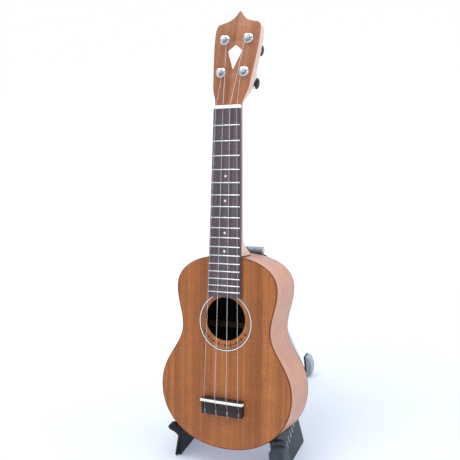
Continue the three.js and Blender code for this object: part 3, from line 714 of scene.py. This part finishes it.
def make_tuner(k):
    u, s = POSTS[k]
    side = math.copysign(1, u)
    here = HEAD @ Matrix.Translation((u, s, 0))
    shell = rounded([(-6.4, -12.5), (6.4, -12.5), (6.4, 8.2), (-6.4, 8.2)], 2.2)
    mesh = plate(f"tuner_shell_{k + 1}", [shell], -24.2, -12.3, here, 1.2, 4)
    finish_piece(f"tuner_shell_{k + 1}", mesh, "ukulele", "nickel",
                 [f"tuner_housing_{k + 1}"])
    tabs = rounded([(-6.6, -16.5), (6.6, -16.5), (6.6, 12.5), (-6.6, 12.5)], 2.6)
    holes = [circle((0, 0), 4.4, 40)] + [circle(place, 1, 20) for place in SCREW_PLACES]
    mesh = plate(f"tuner_plate_{k + 1}", [tabs] + holes, -13.2, -12.15, here, 0.25)
    finish_piece(f"tuner_plate_{k + 1}", mesh, "ukulele", "nickel")
    for n, (x, y) in enumerate(SCREW_PLACES):
        mesh = as_mesh("screw", here @ Matrix.Translation((x, y, 0)), turned(SCREW, 24))
        finish_piece(f"tuner_screw_{k + 1}_{n + 1}", mesh, "ukulele", "nickel")
    mesh = as_mesh(f"bushing_{k + 1}", here, turned(BUSHING))
    finish_piece(f"bushing_{k + 1}", mesh, "ukulele", "nickel")
    mesh = as_mesh(f"post_turned_{k + 1}", here, turned(POST))
    finish_piece(f"post_turned_{k + 1}", mesh, f"post_{k + 1}", "nickel",
                 [f"tuner_post_{k + 1}"])
    worm = here @ Matrix.Translation((0, -WORM_DROP, WORM_DEPTH))
    worm = worm @ Matrix.Rotation(math.radians(90 * side), 4, "Y")
    mesh = as_mesh(f"button_shaft_{k + 1}", worm, turned(COLLAR, 28))
    finish_piece(f"button_shaft_{k + 1}", mesh, f"button_{k + 1}", "nickel")
    mesh = as_mesh(f"button_{k + 1}", worm, loft(paddle_sections()))
    finish_piece(f"button_paddle_{k + 1}", mesh, f"button_{k + 1}", "button",
                 [f"tuner_button_{k + 1}"], smooth=70)


def paddle_sections():
    """The oval button: a slim stem that swells into a rounded, slightly dished paddle."""
    sections = []
    for i in range(19):
        t = i / 18
        along = 6.9 + 5.7 * t
        swell = math.sin(math.pi * (0.04 + 0.93 * t)) ** 0.42
        wide = 2 * (1 - t) ** 4 + 6.9 * swell * min(1, 0.3 + 2.4 * t)
        thick = 2 * (1 - t) ** 4 + 3.6 * swell * min(1, 0.4 + 1.6 * t)
        turn = [2 * math.pi * n / 36 for n in range(36)]
        sections.append([(thick * math.cos(a), wide * math.sin(a), along) for a in turn])
    return sections


# ---- stand ----
def carved(mesh, cutter):
    """The mesh with the cutter's space taken out."""
    scene = bpy.context.scene.collection.objects
    body, tool = bpy.data.objects.new("body", mesh), bpy.data.objects.new("tool", cutter)
    scene.link(body)
    scene.link(tool)
    boolean = body.modifiers.new("cut", "BOOLEAN")
    boolean.operation = "DIFFERENCE"
    boolean.solver = "EXACT"
    boolean.object = tool
    result = bpy.data.meshes.new_from_object(body.evaluated_get(bpy.context.evaluated_depsgraph_get()))
    name = mesh.name
    bpy.data.objects.remove(body)
    bpy.data.objects.remove(tool)
    bpy.data.meshes.remove(mesh)
    result.name = name
    return result


def from_hinge(side, down, across):
    """A point of an arm's strip, from its distance down the strip and across it."""
    return (side * (13 + down * math.sin(SPREAD) + across * math.cos(SPREAD)),
            HINGE_V - down * math.cos(SPREAD) + across * math.sin(SPREAD))


def across_stand(u, v, w):
    """A frame whose z runs along u, for turned parts on the hinge axis."""
    return TO_WORLD @ Matrix.Translation((u, v, w)) @ Matrix.Rotation(math.radians(90), 4, "Y")


# Foot panel from the side, then the front edge with its horn and the right toe from the front.
PANEL = [(-113, 0), (-42.5, 0), (-37.5, 38), (-29, 72.5), (-44, 72.5), (-53, 52), (-113, 60)]
FRONT_EDGE = [(75.6, 0.4), (71.2, 0.4), (62.6, 29), (59, 37), (60, 47.5), (64, 44.8), (70, 46.5), (75, 46.1),
              (78.6, 42.5), (77.8, 39), (73.6, 37.1), (68.3, 34.5), (66, 31)]
TOE = [(61, 0.2), (59.8, 22), (59.8, 36), (65, 40.5), (75.5, 42.5), (78.5, 38), (80.5, 0.2)]
RIBS = 6


def make_arm(side):
    word = "left" if side < 0 else "right"
    space = plate("space", [body_outline(2.2)], BACK_W - 1, 40, TO_WORLD)
    strip = [from_hinge(side, *p) for p in ((8, 6), (3.6, -1), (3.6, -6), (236, -8), (236, 5))]
    pieces = [("strip", plate("strip", [rounded(strip, 2)], ARM_BACK, ARM_FRONT, TO_WORLD, 1.6, 4))]
    tilt = Matrix.Identity(4)
    tilt[0][2] = -side * math.tan(SPREAD)
    panel_place = UPRIGHT @ Matrix.Translation((side * FOOT_X, 0, 0)) @ tilt @ ALONG_U
    mesh = plate("panel", [rounded(PANEL, 4)], -2.3, 2.3, panel_place, 0.9, 4)
    pieces.append(("panel", carved(mesh, space)))
    facing = UPRIGHT @ FACING_FRONT
    outline = rounded([(side * x, z) for x, z in FRONT_EDGE], 2.4)
    pieces.append(("edge", carved(plate("edge", [outline], 105.5, 114.5, facing, 1.3, 4), space)))
    if side > 0:
        outline = rounded([(x, z) for x, z in TOE], 5, 8)
        pieces.append(("toe", carved(plate("toe", [outline], 104, 123, facing, 2.6, 5), space)))
        pieces += [(f"rib_{n + 1}", rib(n, panel_place)) for n in range(RIBS)]
    for name, mesh in pieces:
        hides = [f"arm_{word}"] if name == "strip" else ()
        # The right arm's panel, edge and toe take the painted lit copy of the plastic, and the ribs take the
        # painted glints.
        look = "panel" if side > 0 and name != "strip" else "plastic"
        if name.startswith("rib"):
            look = "rib"
        finish_piece(f"arm_{name}_{word}", mesh, "stand_front", look, hides)
    barrel = [(0, -5.5), (4, -5.5), (HINGE_R, -4.9), (HINGE_R, 4.9), (4, 5.5), (0, 5.5)]
    mesh = as_mesh("barrel", across_stand(side * 13.7, HINGE_V, HINGE_W), turned(barrel, 48))
    finish_piece(f"arm_barrel_{word}", mesh, "stand_front", "hinge")
    mesh = plate("pad", [pad_outline(side)], BACK_W + 3, TOP_W - 3, TO_WORLD, 0.4)
    finish_piece(f"seat_strip_{word}", mesh, "stand_front", "rubber", [f"seat_pad_{word}"])


def rib(n, place):
    """One of the short raised bars on the right panel's outer face."""
    y, z = -92 + 7.2 * n, 20 + 2.6 * n
    bar = rounded([(y - 0.9, z - 4.5), (y + 0.9, z - 4.5), (y + 2.4, z + 4.5), (y + 0.6, z + 4.5)], 0.8)
    return plate("rib", [bar], 2.1, 2.75, place, 0.25)


def pad_outline(side):
    """A band just outside the rim, under the lower bout."""

    def band(by):
        return [(x, y) for x, y in body_outline(by, 60) if 57 < x * side < 69 and y < -340]

    outer, inner = band(2), band(0.35)
    return outer + inner[::-1]


def make_hinge():
    bar = rounded([(-32, -197), (32, -197), (26, -174), (-26, -174)], 4)
    mesh = plate("hinge_plate", [bar], ARM_FRONT - 5, ARM_FRONT, TO_WORLD, 1.2, 4)
    finish_piece("hinge_plate", mesh, "stand_front", "plastic", ["hinge_bar"])
    pad = rounded([(-24, -195), (24, -195), (21, -178), (-21, -178)], 4)
    mesh = plate("back_cushion", [pad], -62.9, -61.3, TO_WORLD, 0.6)
    finish_piece("back_cushion", mesh, "stand_front", "rubber", ["back_pad"])
    head = [(2.3, 18.9), (3.3, 19.25), (3.2, 19.8), (2.4, 20.15), (1.2, 20.2), (0, 20.2)]
    rivet = [(r, -h) for r, h in head[::-1]] + head
    mesh = as_mesh("pin", across_stand(0, HINGE_V, HINGE_W), turned(rivet, 36))
    finish_piece("hinge_rivet", mesh, "stand_front", "nickel", ["hinge_pin"])


def make_rear():
    hinge = Vector(UPRIGHT.inverted() @ TO_WORLD @ Vector((0, HINGE_V, HINGE_W)))
    down = Vector(REAR_SOLE) - Vector((0, hinge.y, hinge.z))
    swing = math.atan2(down.y, -down.z)
    place = UPRIGHT @ Matrix.Translation(hinge) @ Matrix.Rotation(swing, 4, "X")
    barrel = [(2.6, -7.7), (4, -7.7), (HINGE_R, -7.1), (HINGE_R, 7.1), (4, 7.7), (2.6, 7.7), (2.6, -7.7)]
    mesh = as_mesh("knuckle", across_stand(0, HINGE_V, HINGE_W), turned(barrel, 48))
    finish_piece("knuckle_barrel", mesh, "stand_rear", "hinge", ["rear_knuckle"])
    block = rounded([(-7.7, 0), (7.7, 0), (7.7, -30), (-7.7, -30)], 3)
    turned_back = UPRIGHT @ Matrix.Translation(hinge) @ Matrix.Rotation(math.radians(21.5), 4, "X")
    turned_back = turned_back @ FACING_FRONT
    mesh = plate("tongue", [block], -2.4, 3, turned_back, 1, 4)
    finish_piece("knuckle_tongue", mesh, "stand_rear", "plastic")
    for side, word in ((-1, "left"), (1, "right")):
        make_rear_leg(side, word, place @ FACING_FRONT, down.length)


def make_rear_leg(side, word, strut_place, length):
    """A slotted strut from the knuckle down to a foot, with a dark plate in the foot's cheek as painted
    shade.
    """
    facing = UPRIGHT @ FACING_FRONT
    top, foot = (side * 4.6, 2.8), (side * 16, 5.2)
    outline = rounded([(top[0] - top[1], -12), (top[0] + top[1], -12), (foot[0] + foot[1], -length),
                       (foot[0] - foot[1], -length)], 2)
    slot = rounded([(side * 7.5 - 1, -60), (side * 7.5 + 1, -60), (side * 12.9 + 1.5, -length + 60),
                    (side * 12.9 - 1.5, -length + 60)], 1)
    mesh = plate("strut", [outline, slot], -2, 2, strut_place, 0.8, 4)
    finish_piece(f"strut_{word}", mesh, "stand_rear", "aluminium", [f"rear_strut_{word}"])
    cheek = [(10, 0), (26.5, 0)] + bezier(((26.5, 0), (33.8, 3), (35, 25), (28, 32.5)), 16)[1:]
    cheek += [(28, 32.5), (23, 32.5), (23, 10), (10, 10)]
    outline = [(side * x, z) for x, z in cheek]
    mesh = plate("foot", [outline], -117, -104, facing, 1.2, 5)
    finish_piece(f"foot_{word}", mesh, "stand_rear", "foot", [f"rear_foot_{word}"])
    # Painted shade: a dark rubber plate in the foot's cheek stands in for the shaded hollow there.
    shade_strip = rounded([(side * x, z) for x, z in ((22, 9), (24.6, 9), (24.6, 33.5), (22, 33.5))], 1)
    mesh = plate("shade_strip", [shade_strip], -116, -103.4, facing, 0.5)
    finish_piece(f"foot_sleeve_{word}", mesh, "stand_rear", "rubber")


def paint_inner_parts():
    """The CAD's own blocks and braces stay, in spruce painted dark as painted shade for the inside of the
    box.
    """
    for name in ("lining_upper", "lining_lower", "neck_block", "tail_block", "soundboard_brace",
                 "back_brace"):
        mesh = frame["nodes"][name].data
        mesh.materials.clear()
        mesh.materials.append(MAT["spruce"])


# ---- scene, in metres ----
CAMERA_PLACE = Vector((0.3792, -0.7503, 0.5483))
CAMERA_RIGHT = Vector((0.8971, 0.4248, -0.1216))
CAMERA_BACK = Vector((0.4407, -0.8399, 0.3167))
FOCAL_PIXELS, PHOTO_PIXELS, SENSOR_MM = 719.64, 460, 36
FLOOR_SIZE = 60
# The floor glows softly: least at GLOW_CENTRE, most at GLOW_REACH from it, both in millimetres.
GLOW_CENTRE = (200, -150, 0)
GLOW_REACH = 4000
NEAR_GLOW, MIDDLE_GLOW, FAR_GLOW = (0.2, 0.24, 0.33), (0.44, 0.485, 0.53), (0.53, 0.55, 0.56)
SKY_STRENGTH = 1.06
HORIZON, CEILING = (0.94, 0.965, 1, 1), (0.7, 0.73, 0.8, 1)
# Name, place, size, power in watts, colour. All of them face AIM.
AIM = Vector((0, 0, 0.2))
LAMPS = (
    ("key", (-0.7, -0.4, 2.6), 1.2, 26, (1.0, 0.985, 0.96)),
    ("side", (2.1, 0.2, 0.9), 1.0, 13, (0.94, 0.97, 1.0)),
    ("top", (0.4, 0.5, 2.6), 1.2, 18, (0.98, 0.99, 1.0)),
)


def make_camera():
    data = bpy.data.cameras.new("camera")
    camera = bpy.data.objects.new("camera", data)
    bpy.context.scene.collection.objects.link(camera)
    columns = (CAMERA_RIGHT, CAMERA_BACK.cross(CAMERA_RIGHT), CAMERA_BACK, CAMERA_PLACE)
    camera.matrix_world = Matrix([[column[i] for column in columns] for i in range(3)] + [(0, 0, 0, 1)])
    data.lens = FOCAL_PIXELS / PHOTO_PIXELS * SENSOR_MM
    data.sensor_width = SENSOR_MM
    bpy.context.scene.camera = camera
    bpy.context.scene.view_settings.view_transform = "Standard"


def paint_sky(tree, sky):
    """A white band round the horizon under a dimmer, cooler ceiling."""
    split = tree.nodes.new("ShaderNodeSeparateXYZ")
    fade = tree.nodes.new("ShaderNodeValToRGB")
    for element, at, colour in zip(fade.color_ramp.elements, (0.1, 0.5), (HORIZON, CEILING)):
        element.position = at
        element.color = colour
    tree.links.new(tree.nodes.new("ShaderNodeTexCoord").outputs["Generated"], split.inputs[0])
    tree.links.new(split.outputs["Z"], fade.inputs["Fac"])
    tree.links.new(fade.outputs["Color"], sky.inputs["Color"])


def make_studio():
    world = bpy.data.worlds.new("studio")
    bpy.context.scene.world = world
    world.use_nodes = True
    sky = world.node_tree.nodes["Background"]
    sky.inputs["Strength"].default_value = SKY_STRENGTH
    paint_sky(world.node_tree, sky)
    bpy.ops.mesh.primitive_plane_add(size=FLOOR_SIZE, location=(0, 0, 0))
    floor = bpy.context.object
    floor.name = "floor"
    paint = Paint("floor_paper", UPRIGHT)
    cloud = paint.noise((0.004, 0.004, 0.004), 2)
    tint = paint.ramp(cloud, (0.3, (0.55, 0.57, 0.57)), (0.7, (0.57, 0.59, 0.59)))
    away = paint.add("VectorMath", operation="DISTANCE")
    paint.join(paint.place, away.inputs[0])
    away.inputs[1].default_value = GLOW_CENTRE
    share = paint.math("MULTIPLY", away.outputs["Value"], 1 / GLOW_REACH)
    glow = paint.ramp(share, (0.06, NEAR_GLOW), (0.36, MIDDLE_GLOW), (1.0, FAR_GLOW))
    paint.join(glow, paint.shader.inputs["Emission Color"])
    floor.data.materials.append(paint.finish(tint, 0.7, Specular_IOR_Level=0.2, Emission_Strength=1.0))
    for name, place, size, power, colour in LAMPS:
        lamp = bpy.data.lights.new(name, "AREA")
        lamp.size = size
        lamp.energy = power
        lamp.color = colour
        light = bpy.data.objects.new(name, lamp)
        bpy.context.scene.collection.objects.link(light)
        light.location = place
        light.rotation_euler = (AIM - light.location).to_track_quat("-Z", "Y").to_euler()


make_camera()
make_studio()
make_body()
make_neck()
make_fretboard()
make_bridge()
for number in range(4):
    make_string(number)
    make_tuner(number)
for hand in (-1, 1):
    make_arm(hand)
make_hinge()
make_rear()
paint_inner_parts()
